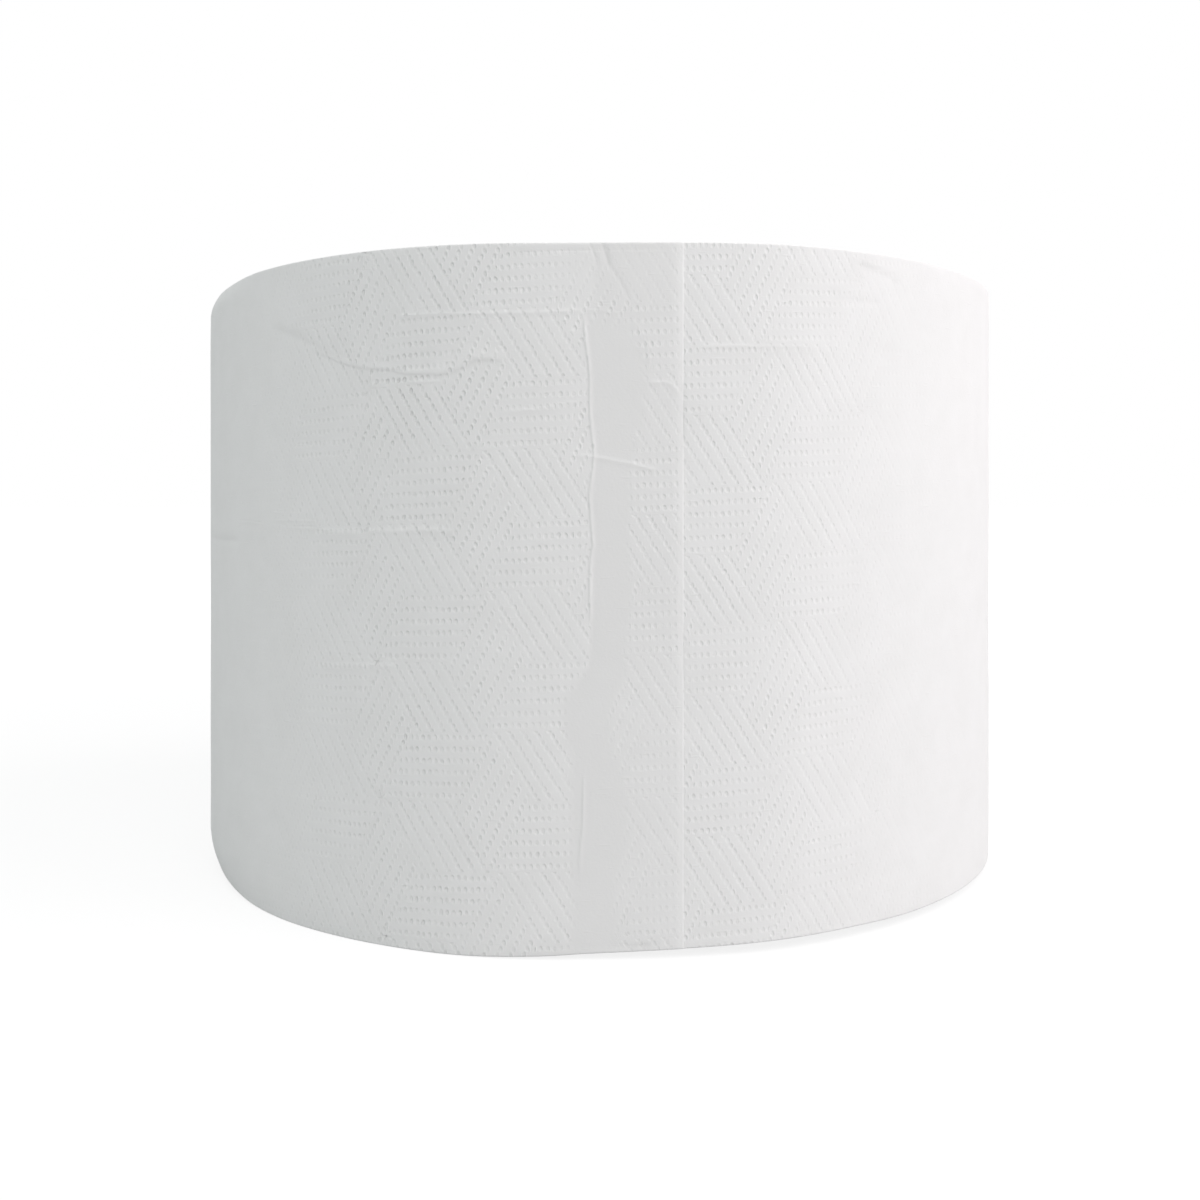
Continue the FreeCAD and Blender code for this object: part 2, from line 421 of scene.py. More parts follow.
def sawnHeight(angle, height, share=1.0):
    # Where a height ends up, as the rims are not quite level. The share is less on the way in to the tube.
    lift, drop = aroundRoll(towel["lowerRim"], angle), aroundRoll(towel["upperRim"], angle)
    up = height / (rollHeight / mm)
    return height + share * (lift * (1 - up) - drop * up)


def aroundRoll(places, angle):
    # Reads a list of (degrees, value) that goes once round, as a rounded line.
    line = smoothPath([(place + turn, value) for turn in (-360, 0, 360) for place, value in places])
    degrees = (np.degrees(angle) + 180) % 360 - 180
    return np.clip(np.interp(degrees, line[:, 0], line[:, 1]), 0, None)


def embossDrift(back, turnLength):
    # The emboss does not repeat with the turns, so it is led a little out of step with the sheet behind.
    late = smoothStep(*towel["driftPart"], back / turnLength)
    return late * towel["embossDrift"][0], late * towel["embossDrift"][1]


def makeTowel():
    thickness = towel["sheetThickness"]
    radius = rollRadius / mm - towel["skinInset"]
    height = rollHeight / mm
    turnLength = 2 * math.pi * (radius - thickness / 2)

    # Columns of the sheet: up the cut lip of the tail, then back round the roll to the foot of the lip.
    lip = towel["lipThickness"]
    lipBack, lipShare = np.array(towel["lipLine"]).T
    lastZone = (turnLength - towel["footGap"], towel["lastColumns"])
    backs = steppedDistances(towel["columnZones"] + [lastZone])[1:]
    bend = towel["rampShare"] * np.clip(1 - backs / towel["rampLength"], 0, 1) ** towel["rampCurve"]
    settle = (1 - towel["rampShare"]) * np.clip(1 - backs / towel["settleLength"], 0, 1) ** towel["rampCurve"]
    ramp = (thickness - lip) * (bend + settle)
    columnBack = np.concatenate([lipBack, backs, [turnLength + lipBack[0]]])
    wound = thickness * backs / turnLength
    columnDrop = np.concatenate([thickness - lipShare * lip, ramp + wound, [thickness]])

    # Rows: the rounded rims, and between them lines that are closest where the sheet is creased.
    rounding = towel["rimRounding"]
    turns = np.radians([0, 30, 60, 90])
    rimHeight = np.append(rounding * (1 - np.cos(turns)), rounding + towel["rimLine"])
    rimDrop = np.append(rounding * (1 - np.sin(turns)), 0)
    topGap, topSpacing = towel["topRows"]
    middle = steppedDistances(towel["rowZones"] + [(height - topGap, topSpacing)])[1:]
    rowHeight = np.concatenate([rimHeight, middle, (height - rimHeight)[::-1]])
    rowDrop = np.concatenate([rimDrop, np.zeros(len(middle)), rimDrop[::-1]])

    # Roll the flat sheet up.
    piece, column, row = layGrid("towelRoll", len(columnBack), len(rowHeight))
    mesh = piece.data
    back, level = columnBack[column], rowHeight[row]
    angle = math.radians(towel["tailAngle"]) - back / turnLength * 2 * math.pi
    up = sawnHeight(angle, level)
    glued = gluedBand(back, up)
    slack = softWaves(towel["seed"], *towel["slackWaves"])
    lift = towel["slackDepth"] * slack(back, up) - towel["gluedSink"] * glued
    # Painted shade at the creases' feet, and painted highlight on their crests and along the tail's edge.
    shade, light = np.zeros((2, len(back)))
    for crease in creases.values():
        creaseLift, paintedCreaseShade, paintedCreaseHighlight = creaseRelief(crease, back, up)
        lift += creaseLift
        shade = np.maximum(shade, paintedCreaseShade)
        light = np.maximum(light, paintedCreaseHighlight)
    light = np.maximum(light, towel["tailLight"] * smoothStep(*towel["tailLightReach"], back))
    lift[(column == 0) | (column == len(columnBack) - 1)] = 0
    rimShare, rimReach = towel["rimCrease"]
    lift *= rimShare + (1 - rimShare) * smoothStep(0, rimReach, np.minimum(level, height - level))
    lowReach, highReach = towel["pushHeight"]
    pushed = aroundRoll(towel["lowerPush"], angle) * np.clip(1 - level / lowReach, 0, 1) ** 2
    pushed += aroundRoll(towel["upperPush"], angle) * np.clip(1 - (height - level) / highReach, 0, 1) ** 2
    fromFlat = (back - towel["flatBack"] + turnLength / 2) % turnLength - turnLength / 2
    pushed += towel["flatDepth"] * np.cos(np.clip(fromFlat / towel["flatReach"], -1, 1) * math.pi / 2) ** 2
    out = radius - columnDrop[column] - rowDrop[row] + lift - pushed
    writePoints(mesh, aroundAxis(out, angle, level))

    # On the map, x runs to the right and ends at 0 at the tail's edge, and y runs up.
    driftX, driftY = embossDrift(back, turnLength)
    mapFlat(mesh, "sheetPlace", driftX - back, up + driftY)
    pressed = aroundRoll(towel["pressed"], angle)
    for change, foot, nearSide, farSide in towel["pressedPatches"]:
        patch = smoothStep(*foot, up) * smoothStep(*nearSide, back) * smoothStep(*farSide, back)
        pressed = pressed * (1 + change * patch)
    attributes = {"glued": glued, "tinted": gluedTint(back, up, glued), "paintedCreaseShade": shade,
                  "paintedCreaseHighlight": light, "pressed": pressed}
    for name, values in attributes.items():
        mesh.attributes.new(name, "FLOAT", "POINT").data.foreach_set("value", values)

    # Close the roll at the foot of the lip, then draw both rims in to the tube.
    weldPoints(piece, towel["weldDistance"] * mm)
    for end, inwards in ((0.0, 1), (rollHeight, -1)):
        addEnd(piece, end, inwards)

    # The hidden bore that lies on the tube closes the mesh. Then the rims get their uneven height.
    points = readPoints(mesh)
    reach = np.hypot(points[:, 0], points[:, 1])
    bridgeAndClose(piece, reach < tubeRadius + 0.02 * mm)
    share = np.clip((reach - tubeRadius) / (rollRadius - tubeRadius), 0, 1)
    points[:, 2] = sawnHeight(np.arctan2(points[:, 0], -points[:, 1]), points[:, 2] / mm, share) * mm
    writePoints(mesh, points)
    shadeByAngle(piece, towel["smoothAngle"])
    return piece


# The roll's two sawn ends, in millimetres.
sawnEnd = {
    # How far in from the rim each ring of points lies.
    "rings": [0.12, 0.3, 0.42, 0.5, 0.58, 0.75, 1.2, 2.0, 3.5, 6, 9, 13, 18, 24, 31, 39, 48, 58, 69, 80, 91,
              102, 112, 121, 127, 131, 132.6],
    "rimRings": 8,  # how many of them follow the rim's own shape
    "spokeGap": 3e-5,  # points whose bearings are closer than this are on one spoke
    "relief": 0.28,  # how unevenly the saw leaves the turns
    "grooveDepth": 0.22,  # the groove behind the outer turn
    "grooveWidth": 0.13,
    "ringLengths": (7.0, 11.0, 17.0, 29.0),
    "ringWander": 0.6,
    "waves": (12, 40, 160),  # how many, the shortest, and the longest
    "evenShare": 0.5,
    "ringShare": 0.10,
    "waveShare": 0.12,
    "reliefStart": (0.6, 6),  # how far in from the rim the relief starts, and where it is whole
    "tubeDip": 0.35,  # how far the turns next to the tube dip
    "tubeReach": 0.7,
}


def addEnd(piece, level, inwards):
    # Draws the rim in to the tube, cuts the new face into rings, and gives each ring its place and relief.
    mesh = piece.data
    touch = 0.001 * mm
    points = readPoints(mesh)
    oldCount = len(points)
    pickEdges(piece, np.abs(points[:, 2] - level) < touch)
    bpy.ops.mesh.extrude_edges_indiv()
    shrink = tubeRadius / rollRadius
    bpy.ops.transform.resize(value=(shrink, shrink, 1), center_override=(0, 0, level))
    setMode("OBJECT")
    ringCount = len(sawnEnd["rings"])
    pickEdges(piece, np.arange(len(mesh.vertices)) >= oldCount, ends=1)  # the spokes
    bpy.ops.mesh.subdivide(number_cuts=ringCount)
    setMode("OBJECT")

    points = readPoints(mesh)
    onEnd = np.abs(points[:, 2] - level) < touch
    placed = points[onEnd]
    distance = np.hypot(placed[:, 0], placed[:, 1])
    bearing = np.arctan2(placed[:, 0], -placed[:, 1])
    # Points with the same bearing are one spoke, which runs from the rim to the tube in equal steps.
    order = np.argsort(bearing)
    spoke = np.empty(len(order), int)
    spoke[order] = np.concatenate([[0], np.cumsum(np.diff(bearing[order]) > sawnEnd["spokeGap"])])
    rim, foot = np.zeros(spoke.max() + 1), np.full(spoke.max() + 1, np.inf)
    np.maximum.at(rim, spoke, distance)
    np.minimum.at(foot, spoke, distance)
    rim, foot = rim[spoke], foot[spoke]
    ring = np.rint((rim - distance) / (rim - foot) * (ringCount + 1)).astype(int)
    depths = np.concatenate([[0], np.array(sawnEnd["rings"]) * mm, [rollRadius - tubeRadius]])
    share = depths / (rollRadius - tubeRadius)
    besideRim, between = rim - depths[ring], rim + (tubeRadius - rim) * share[ring]
    newDistance = np.where(ring <= sawnEnd["rimRings"], besideRim, between)
    newDistance[ring == ringCount + 1] = tubeRadius
    dip = endRelief(newDistance / mm, (rim - newDistance) / mm, bearing, level)
    placed[:, 0] = newDistance * np.sin(bearing)
    placed[:, 1] = -newDistance * np.cos(bearing)
    placed[:, 2] = level + inwards * dip * mm
    points[onEnd] = placed
    writePoints(mesh, points)


def endRelief(distance, depth, bearing, level):
    # How far the sawn end dips, in millimetres: the groove behind the outer turn, then soft rings and waves.
    dice = np.random.default_rng(towel["seed"] + (5 if level else 6))
    offGroove = (depth - towel["sheetThickness"]) / sawnEnd["grooveWidth"]
    groove = sawnEnd["grooveDepth"] * np.exp(-offGroove ** 2)
    rings = np.zeros_like(distance)
    for length in sawnEnd["ringLengths"]:
        start, pull = dice.uniform(0, 2 * math.pi, 2)
        wander = sawnEnd["ringWander"] * np.sin(bearing + pull)
        rings += np.sin(2 * math.pi * distance / length + start + wander)
    waves = softWaves(int(dice.integers(1000)), *sawnEnd["waves"])
    x, y = distance * np.sin(bearing), distance * np.cos(bearing)
    uneven = sawnEnd["evenShare"] + sawnEnd["ringShare"] * rings + sawnEnd["waveShare"] * waves(x, y)
    inner = smoothStep(*sawnEnd["reliefStart"], depth)
    atTube = sawnEnd["tubeDip"] * np.exp(-((distance - tubeRadius / mm) / sawnEnd["tubeReach"]) ** 2)
    dip = groove + sawnEnd["relief"] * np.clip(uneven, 0.02, 2) * inner + atTube
    return np.where(depth < 0.01, 0, dip)


towelRoll = makeTowel()
levelEnough = 0.8  # how upright a face's normal is on the two ends
endFaces = np.abs(faceNormals(towelRoll.data)[:, 2]) > levelEnough
print("towel rolled:", countTriangles(towelRoll.data), "triangles")
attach(towelRoll, "root")
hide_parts("wound_towel")


# The cardboard tube, in millimetres and degrees.
tube = {
    "stripLead": 98,  # how far up the tube one turn of the board strip climbs
    "seamWidth": 0.9,
    "seamDepth": 0.28,
    "seamStart": 205,  # how far round from the front the seam leaves the lower end
    "columnZones": [(3, 0.5), (217, 2.2), (219.9, 0.5)],
    "rowSpacing": 2.0,
    "plies": 5,
    "plyRelief": 0.10,
    "touch": 0.001,  # points this close to an end are on its rim
    "ridgeReach": 0.3,  # and this close once the ridges are there
    "ringReach": 0.02,
    "weldDistance": 0.01,
    "smoothAngle": 40,
}


def makeTube():
    bore = [mount for mount in frame["record"]["mounts"] if mount["name"] == "spindle_bore"][0]
    boreRadius = bore["dims"]["r_mm"]
    outside = tubeRadius / mm
    height = rollHeight / mm
    around = 2 * math.pi * boreRadius
    columns = steppedDistances(tube["columnZones"]) / tube["columnZones"][-1][0] * around
    rows = steppedDistances([(height, tube["rowSpacing"])])

    piece, column, row = layGrid("coreTube", len(columns), len(rows))
    mesh = piece.data
    along, up = columns[column], rows[row]

    # The flat board is rolled on a slant, so its first and last columns meet along the seam.
    slant = math.atan2(tube["stripLead"], around)
    fromSeam = np.minimum(along, around - along) * math.sin(slant)
    groove = tube["seamDepth"] * np.exp(-(fromSeam / (tube["seamWidth"] / 2)) ** 2)
    climb = math.radians(tube["seamStart"]) + 2 * math.pi * up / tube["stripLead"]
    angle = along / boreRadius + climb
    writePoints(mesh, aroundAxis(boreRadius + groove, angle, up))
    mapFlat(mesh, "boardPlace", along, up)
    weldPoints(piece, tube["weldDistance"] * mm)

    # The sawn ends show the plies as fine ridges, one ring of faces at a time.
    steps = tube["plies"] * 2
    for level, inwards in ((0.0, 1), (height, -1)):
        reached = boreRadius
        for step in range(1, steps + 1):
            points = readPoints(mesh)
            distance = np.hypot(points[:, 0], points[:, 1]) / mm
            rim = np.abs(points[:, 2] / mm - level) < (tube["touch"] if step == 1 else tube["ridgeReach"])
            if step > 1:
                rim &= np.abs(distance - reached) < tube["ringReach"]
            oldCount = len(points)
            pickEdges(piece, rim)
            bpy.ops.mesh.extrude_edges_indiv()
            setMode("OBJECT")
            points = readPoints(mesh)
            fresh = np.arange(len(points)) >= oldCount
            bearing = np.arctan2(points[fresh, 0], -points[fresh, 1])
            reached = boreRadius + (outside - boreRadius) * step / steps
            dip = tube["plyRelief"] if step % 2 and step < steps else 0.0
            ends = np.full(fresh.sum(), level + inwards * dip)
            points[fresh] = aroundAxis(reached, bearing, ends)
            writePoints(mesh, points)

    points = readPoints(mesh)
    bridgeAndClose(piece, np.hypot(points[:, 0], points[:, 1]) > tubeRadius - 0.01 * mm)
    shadeByAngle(piece, tube["smoothAngle"])
    return piece


coreTube = makeTube()
print("tube wound:", countTriangles(coreTube.data), "triangles")
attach(coreTube, "root")
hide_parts("core_tube")


def addNode(tree, kind, values=None, **settings):
    node = tree.nodes.new(kind)
    for name, value in settings.items():
        setattr(node, name, value)
    for socket, value in (values or {}).items():
        if isinstance(value, bpy.types.NodeSocket):
            tree.links.new(value, node.inputs[socket])
        else:
            node.inputs[socket].default_value = value
    return node


def doMath(tree, operation, *values, clamp=False):
    node = addNode(tree, "ShaderNodeMath", dict(enumerate(values)), operation=operation, use_clamp=clamp)
    return node.outputs[0]


def plus(tree, first, second):
    return doMath(tree, "ADD", first, second)


def minus(tree, first, second):
    return doMath(tree, "SUBTRACT", first, second)


def times(tree, first, second):
    return doMath(tree, "MULTIPLY", first, second)


def doVectorMath(tree, operation, *values, output="Vector"):
    node = addNode(tree, "ShaderNodeVectorMath", dict(enumerate(values)), operation=operation)
    return node.outputs[output]


def spreadRange(tree, value, fromLow, fromHigh, toLow, toHigh, kind="LINEAR"):
    node = addNode(tree, "ShaderNodeMapRange", {"Value": value, "From Min": fromLow, "From Max": fromHigh,
                                                "To Min": toLow, "To Max": toHigh}, interpolation_type=kind)
    return node.outputs["Result"]


def mixColours(tree, factor, first, second, blend="MIX"):
    values = {0: factor, 6: first, 7: second}
    return addNode(tree, "ShaderNodeMix", values, data_type="RGBA", blend_type=blend).outputs[2]


def addNoise(tree, place, scale, detail, roughness=0.5, output="Fac"):
    node = addNode(tree, "ShaderNodeTexNoise", {"Vector": place, "Scale": scale, "Detail": detail,
                                                "Roughness": roughness})
    return node.outputs[output]


def addGroup(tree, group, values):
    return addNode(tree, "ShaderNodeGroup", values, node_tree=group).outputs


def mixShaders(tree, factor, first, second):
    return addNode(tree, "ShaderNodeMixShader", {0: factor, 1: first.outputs[0], 2: second.outputs[0]})


def readValue(tree, name):
    # A value kept on the mesh's points.
    return addNode(tree, "ShaderNodeAttribute", attribute_name=name).outputs["Fac"]


def newGroup(name, values, outputs):
    # A group that takes a Place and these values.
    group = bpy.data.node_groups.new(name, "ShaderNodeTree")
    group.interface.new_socket("Place", in_out="INPUT", socket_type="NodeSocketVector")
    for label, value in values.items():
        socket = group.interface.new_socket(label, in_out="INPUT", socket_type="NodeSocketFloat")
        socket.default_value = value
    for label in outputs:
        group.interface.new_socket(label, in_out="OUTPUT", socket_type="NodeSocketFloat")
    return group, group.nodes.new("NodeGroupInput").outputs


def newTree(name):
    # A material with nothing in it yet.
    material = bpy.data.materials.new(name)
    material.use_nodes = True
    material.node_tree.nodes.clear()
    return material, material.node_tree


def finishMatt(tree, colour, roughness, specular, heights):
    # Each height is (a value, how far it lifts the surface in metres).
    total = None
    for value, depth in heights:
        lifted = times(tree, value, depth)
        total = lifted if total is None else plus(tree, total, lifted)
    bump = addNode(tree, "ShaderNodeBump", {"Height": total, "Distance": 1.0, "Strength": 1.0})
    shader = addNode(tree, "ShaderNodeBsdfPrincipled", {
        "Base Color": colour, "Roughness": roughness, "Specular IOR Level": specular,
        "Normal": bump.outputs["Normal"]})
    addNode(tree, "ShaderNodeOutputMaterial", {"Surface": shader.outputs[0]})


# The emboss pattern, in dot spacings.
emboss = {
    "side": 12.0,  # along a block's side
    "rowReach": 0.5,  # how far a row's groove reaches to each side
    "rimGap": 0.05,  # how far outside a dot its raised rim lies
    "rimWidth": 0.14,
    "dotShare": (1.1, 0.9),  # how strong the dots are, and in the rows that fall to the right
    "rowShare": (0.12, 0.6),  # the same for the groove along a row
    "fallingScale": -2.31,  # makes the falling rows 1 and the rest 0
}
noiseSpan, narrowSpan = (0.3, 0.7), (0.35, 0.65)  # the part of a noise's range that most of it lies in


def makeDotBlocks():
    # Dots in rows that turn by 60 degrees from block to block, as in a tumbling-block quilt. The place is in
    # dot spacings from the middle of a star of six blocks.
    group, given = newGroup("dotBlocks", {"Dot Radius": 0.3, "Dot Edge": 0.14, "Dot Height": 1.0},
                            ["Dots", "Rims", "Rows"])
    halfWidth, halfHeight = 1.5 * emboss["side"], emboss["side"] * math.sqrt(3) / 2
    rowGap = math.sqrt(3)
    place = given["Place"]
    # Stars stand in a grid and again midway between, so the nearer of the two is found.
    first = doVectorMath(group, "WRAP", place, (halfWidth, halfHeight, 1), (-halfWidth, -halfHeight, -1))
    shifted = doVectorMath(group, "WRAP", place, (2 * halfWidth, 2 * halfHeight, 1), (0, 0, 0))
    second = doVectorMath(group, "SUBTRACT", shifted, (halfWidth, halfHeight, 0))
    firstReach = doVectorMath(group, "LENGTH", first, output="Value")
    secondReach = doVectorMath(group, "LENGTH", second, output="Value")
    firstIsNearer = doMath(group, "LESS_THAN", firstReach, secondReach)
    nearer = addNode(group, "ShaderNodeMix", {0: firstIsNearer, 4: second, 5: first}, data_type="VECTOR")
    fromStar = addNode(group, "ShaderNodeSeparateXYZ", {0: nearer.outputs[1]})
    reach = doMath(group, "MINIMUM", firstReach, secondReach)
    bearing = doMath(group, "ARCTAN2", fromStar.outputs["Y"], fromStar.outputs["X"])
    # Each sixth of the star is turned back on to the first sixth, whose rows are level.
    turned = doMath(group, "WRAP", bearing, math.pi / 3, 0.0)
    along = times(group, reach, doMath(group, "COSINE", turned))
    across = times(group, reach, doMath(group, "SINE", turned))
    offAlong = minus(group, doMath(group, "WRAP", along, 1.0, 0.0), 0.5)
    offAcross = minus(group, doMath(group, "WRAP", across, rowGap, 0.0), rowGap / 2)
    # The dots all stand upright, whichever way their row runs.
    spin = minus(group, bearing, turned)
    cosine, sine = doMath(group, "COSINE", spin), doMath(group, "SINE", spin)
    falling = doMath(group, "MULTIPLY", times(group, cosine, sine), emboss["fallingScale"], clamp=True)
    offRight = minus(group, times(group, offAlong, cosine), times(group, offAcross, sine))
    offUp = plus(group, times(group, offAlong, sine), times(group, offAcross, cosine))
    offUp = doMath(group, "DIVIDE", offUp, given["Dot Height"])
    offDot = doMath(group, "SQRT", plus(group, times(group, offRight, offRight), times(group, offUp, offUp)))
    inner = minus(group, given["Dot Radius"], given["Dot Edge"])
    outer = plus(group, given["Dot Radius"], given["Dot Edge"])
    dots = spreadRange(group, offDot, outer, inner, 0.0, 1.0, "SMOOTHSTEP")
    fromRow = doMath(group, "ABSOLUTE", offAcross)
    rows = spreadRange(group, fromRow, emboss["rowReach"], 0.0, 0.0, 1.0, "SMOOTHSTEP")
    # A dot's rim stands up to its left and right only.
    fromRim = doMath(group, "ABSOLUTE", minus(group, offDot, plus(group, outer, emboss["rimGap"])))
    rims = spreadRange(group, fromRim, emboss["rimWidth"], 0.0, 0.0, 1.0, "SMOOTHSTEP")
    sideways = doMath(group, "DIVIDE", offRight, doMath(group, "MAXIMUM", offDot, 0.01))
    sideways = doMath(group, "POWER", sideways, 2.0)
    rims = times(group, rims, times(group, sideways, sideways))
    # The rows that fall to the right are pressed in as grooves too.
    dotShare = spreadRange(group, falling, 0.0, 1.0, *emboss["dotShare"])
    rowShare = spreadRange(group, falling, 0.0, 1.0, *emboss["rowShare"])
    addNode(group, "NodeGroupOutput", {"Dots": times(group, dots, dotShare),
                                       "Rims": times(group, rims, dotShare),
                                       "Rows": times(group, rows, rowShare)})
    return group


def makePaperFibre():
    # Fine felted fibre, in a place measured in metres. Height is about 0 to 1, and Cloud is a soft mottle.
    group, given = newGroup("paperFibre", {"Fibre Size": 0.0009}, ["Height", "Cloud"])
    scale = doMath(group, "DIVIDE", 1.0, given["Fibre Size"])
    cloudScale = times(group, scale, 0.05)
    height = addNoise(group, given["Place"], scale, detail=3.0, roughness=0.6)
    cloud = addNoise(group, given["Place"], cloudScale, detail=4.0, roughness=0.65)
    addNode(group, "NodeGroupOutput", {"Height": height, "Cloud": cloud})
    return group


def makeWoundRings():
    # Rings about the winding axis, of uneven width and strength, for sawn ends.
    group, given = newGroup("woundRings", {"Ring Width": 0.0005}, ["Fine", "Broad"])
    flat = doVectorMath(group, "MULTIPLY", given["Place"], (1, 1, 0))
    reach = doVectorMath(group, "LENGTH", flat, output="Value")
    heading = addNode(group, "ShaderNodeSeparateXYZ", {0: doVectorMath(group, "NORMALIZE", flat)})
    rings = doMath(group, "DIVIDE", reach, given["Ring Width"])

    def ringNoise(widths, wander, detail):
        vector = addNode(group, "ShaderNodeCombineXYZ", {"X": doMath(group, "DIVIDE", rings, widths),
                                                         "Y": times(group, heading.outputs["X"], wander),
                                                         "Z": times(group, heading.outputs["Y"], wander)})
        return addNoise(group, vector.outputs[0], 1.0, detail, roughness=0.6)

    fine = ringNoise(widths=1.6, wander=5.0, detail=2.0)
    broad = ringNoise(widths=14.0, wander=0.9, detail=3.0)
    addNode(group, "NodeGroupOutput", {"Fine": fine, "Broad": broad})
    return group


dotBlocks = makeDotBlocks()
paperFibre = makePaperFibre()
woundRings = makeWoundRings()

# The towel's finish.
paper = {
    "colour": (0.865, 0.865, 0.86, 1),
    "mottleColour": (0.845, 0.845, 0.838, 1),
    "gluedColour": (0.825, 0.8245, 0.8185, 1),
    "dotShadeColour": (0.98, 0.98, 0.978, 1),  # painted shade in a pressed dot: what it leaves of the light
    "foldShadeColour": (0.80, 0.80, 0.795, 1),  # painted shade at the foot of a crease, in the same way
    # Painted highlight on the dots' rims, the creases' crests and the tail's edge.
    "crestHighlightColour": (0.93, 0.93, 0.925, 1),
    "endColour": (0.83, 0.83, 0.82, 1),
    "endShadow": (0.68, 0.68, 0.665, 1),
    "dotSpacing": 2.262 * mm,
    "dotRadius": 0.24,  # in dot spacings
    "dotEdge": 0.12,
    "dotHeight": 1.5,  # against their width
    "dotDepth": 0.11 * mm,
    "rimHeight": 0.025 * mm,  # how far a dot's rim stands up
    # How much of the crest's painted highlight a dot's rim gets.
    "rimHighlight": 0.6,
    "rowDepth": 0.05 * mm,
    "dotWander": 0.9 * mm,  # how far the dots stray from their rows
    "blotchDepth": 0.08 * mm,
    "fibreDepth": 0.05 * mm,
    "fleckDepth": 0.03 * mm,
    "plainEdge": 2.0 * mm,  # the tail's edge has hardly any dots
    "plainFade": (1.25, 0.75),  # the shares of that over which they fade
    "plainPress": 0.8,  # how much weaker they are there
    "gluedPress": 0.95,  # and where the glue has flattened them
    "strayScale": 260,
    "patchScale": 45,  # patches of the sheet that are pressed less or more
    "patchShare": (0.35, 1.45),
    "dotScale": 420,  # and single dots
    "dotShare": (0.45, 1.35),
    "fleckScale": (130, 900, 1),  # short level flecks that stand up here and there
    "fleckSpan": (0.66, 0.78),
    "blotchScale": 110,
    "roughness": (0.82, 0.96),
    "specular": 0.25,
    "endRingWidth": 0.5 * mm,
    "endFine": 0.6,  # how much of the ends' shade is in fine rings
    "endBroad": 0.4,
    "endFineDepth": 0.12 * mm,
    "endBroadDepth": 0.5 * mm,
    "endFibreDepth": 0.08 * mm,
    "endRoughness": (0.85, 0.98),
    "endSpecular": 0.2,
    "starPlace": (-69.4 * mm, 169.4 * mm, 0),
    "rowTilt": math.radians(2.2),
}


def makeTowelFace():
    material, tree = newTree("towelFace")
    place = addNode(tree, "ShaderNodeUVMap", uv_map="sheetPlace").outputs["UV"]
    glued = readValue(tree, "glued")
    stray = addNoise(tree, place, paper["strayScale"], detail=1.0, output="Color")
    stray = doVectorMath(tree, "SUBTRACT", stray, (0.5, 0.5, 0.5))
    stray = doVectorMath(tree, "MULTIPLY", stray, (paper["dotWander"],) * 3)
    strayed = doVectorMath(tree, "ADD", place, stray)
    onBlocks = addNode(tree, "ShaderNodeMapping", {
        "Vector": strayed, "Location": paper["starPlace"], "Rotation": (0, 0, paper["rowTilt"]),
        "Scale": (paper["dotSpacing"],) * 3}, vector_type="TEXTURE").outputs[0]
    dots = addGroup(tree, dotBlocks, {"Place": onBlocks, "Dot Radius": paper["dotRadius"],
                                      "Dot Edge": paper["dotEdge"], "Dot Height": paper["dotHeight"]})
    fibre = addGroup(tree, paperFibre, {"Place": place})

    # The dots are weaker in patches, and missing on the glued band and along the tail's edge.
    patchy = addNoise(tree, place, paper["patchScale"], detail=4.0, roughness=0.75)
    uneven = addNoise(tree, place, paper["dotScale"], detail=0.0)
    strength = times(tree, spreadRange(tree, patchy, *noiseSpan, *paper["patchShare"]),
                     spreadRange(tree, uneven, *noiseSpan, *paper["dotShare"]))
    strength = times(tree, strength, readValue(tree, "pressed"))
    fromEdge = addNode(tree, "ShaderNodeSeparateXYZ", {0: place}).outputs["X"]
    fadeStart, fadeEnd = (-share * paper["plainEdge"] for share in paper["plainFade"])
    plain = spreadRange(tree, fromEdge, fadeStart, fadeEnd, 0.0, 1.0, "SMOOTHSTEP")
    flattened = doMath(tree, "MAXIMUM", times(tree, glued, paper["gluedPress"]),
                       times(tree, plain, paper["plainPress"]))
    pressure = times(tree, strength, minus(tree, 1.0, flattened))
    press, rim, channel = (times(tree, dots[name], pressure) for name in ("Dots", "Rims", "Rows"))

    stretched = doVectorMath(tree, "MULTIPLY", place, paper["fleckScale"])
    flecks = addNoise(tree, stretched, 1.0, detail=1.0)
    fleck = spreadRange(tree, flecks, *paper["fleckSpan"], 0.0, 1.0, "SMOOTHSTEP")
    blotch = addNoise(tree, place, paper["blotchScale"], detail=2.0)

    soft = spreadRange(tree, fibre["Cloud"], *narrowSpan, 0.0, 1.0)
    colour = mixColours(tree, soft, paper["colour"], paper["mottleColour"])
    colour = mixColours(tree, readValue(tree, "tinted"), colour, paper["gluedColour"])
    # Painted highlight on the dots' rims, and painted shade in the dots.
    colour = mixColours(tree, times(tree, rim, paper["rimHighlight"]), colour, paper["crestHighlightColour"])
    colour = mixColours(tree, press, colour, paper["dotShadeColour"], "MULTIPLY")
    # Painted shade at the creases' feet.
    colour = mixColours(tree, readValue(tree, "paintedCreaseShade"), colour, paper["foldShadeColour"], "MULTIPLY")
    # Painted highlight on the creases' crests and along the tail's edge.
    colour = mixColours(tree, readValue(tree, "paintedCreaseHighlight"), colour, paper["crestHighlightColour"])
    roughness = spreadRange(tree, fibre["Height"], *noiseSpan, *paper["roughness"])
    finishMatt(tree, colour, roughness, paper["specular"], [
        (press, -paper["dotDepth"]), (rim, paper["rimHeight"]), (channel, -paper["rowDepth"]),
        (fibre["Height"], paper["fibreDepth"]), (fleck, paper["fleckDepth"]),
        (blotch, paper["blotchDepth"])])
    return material


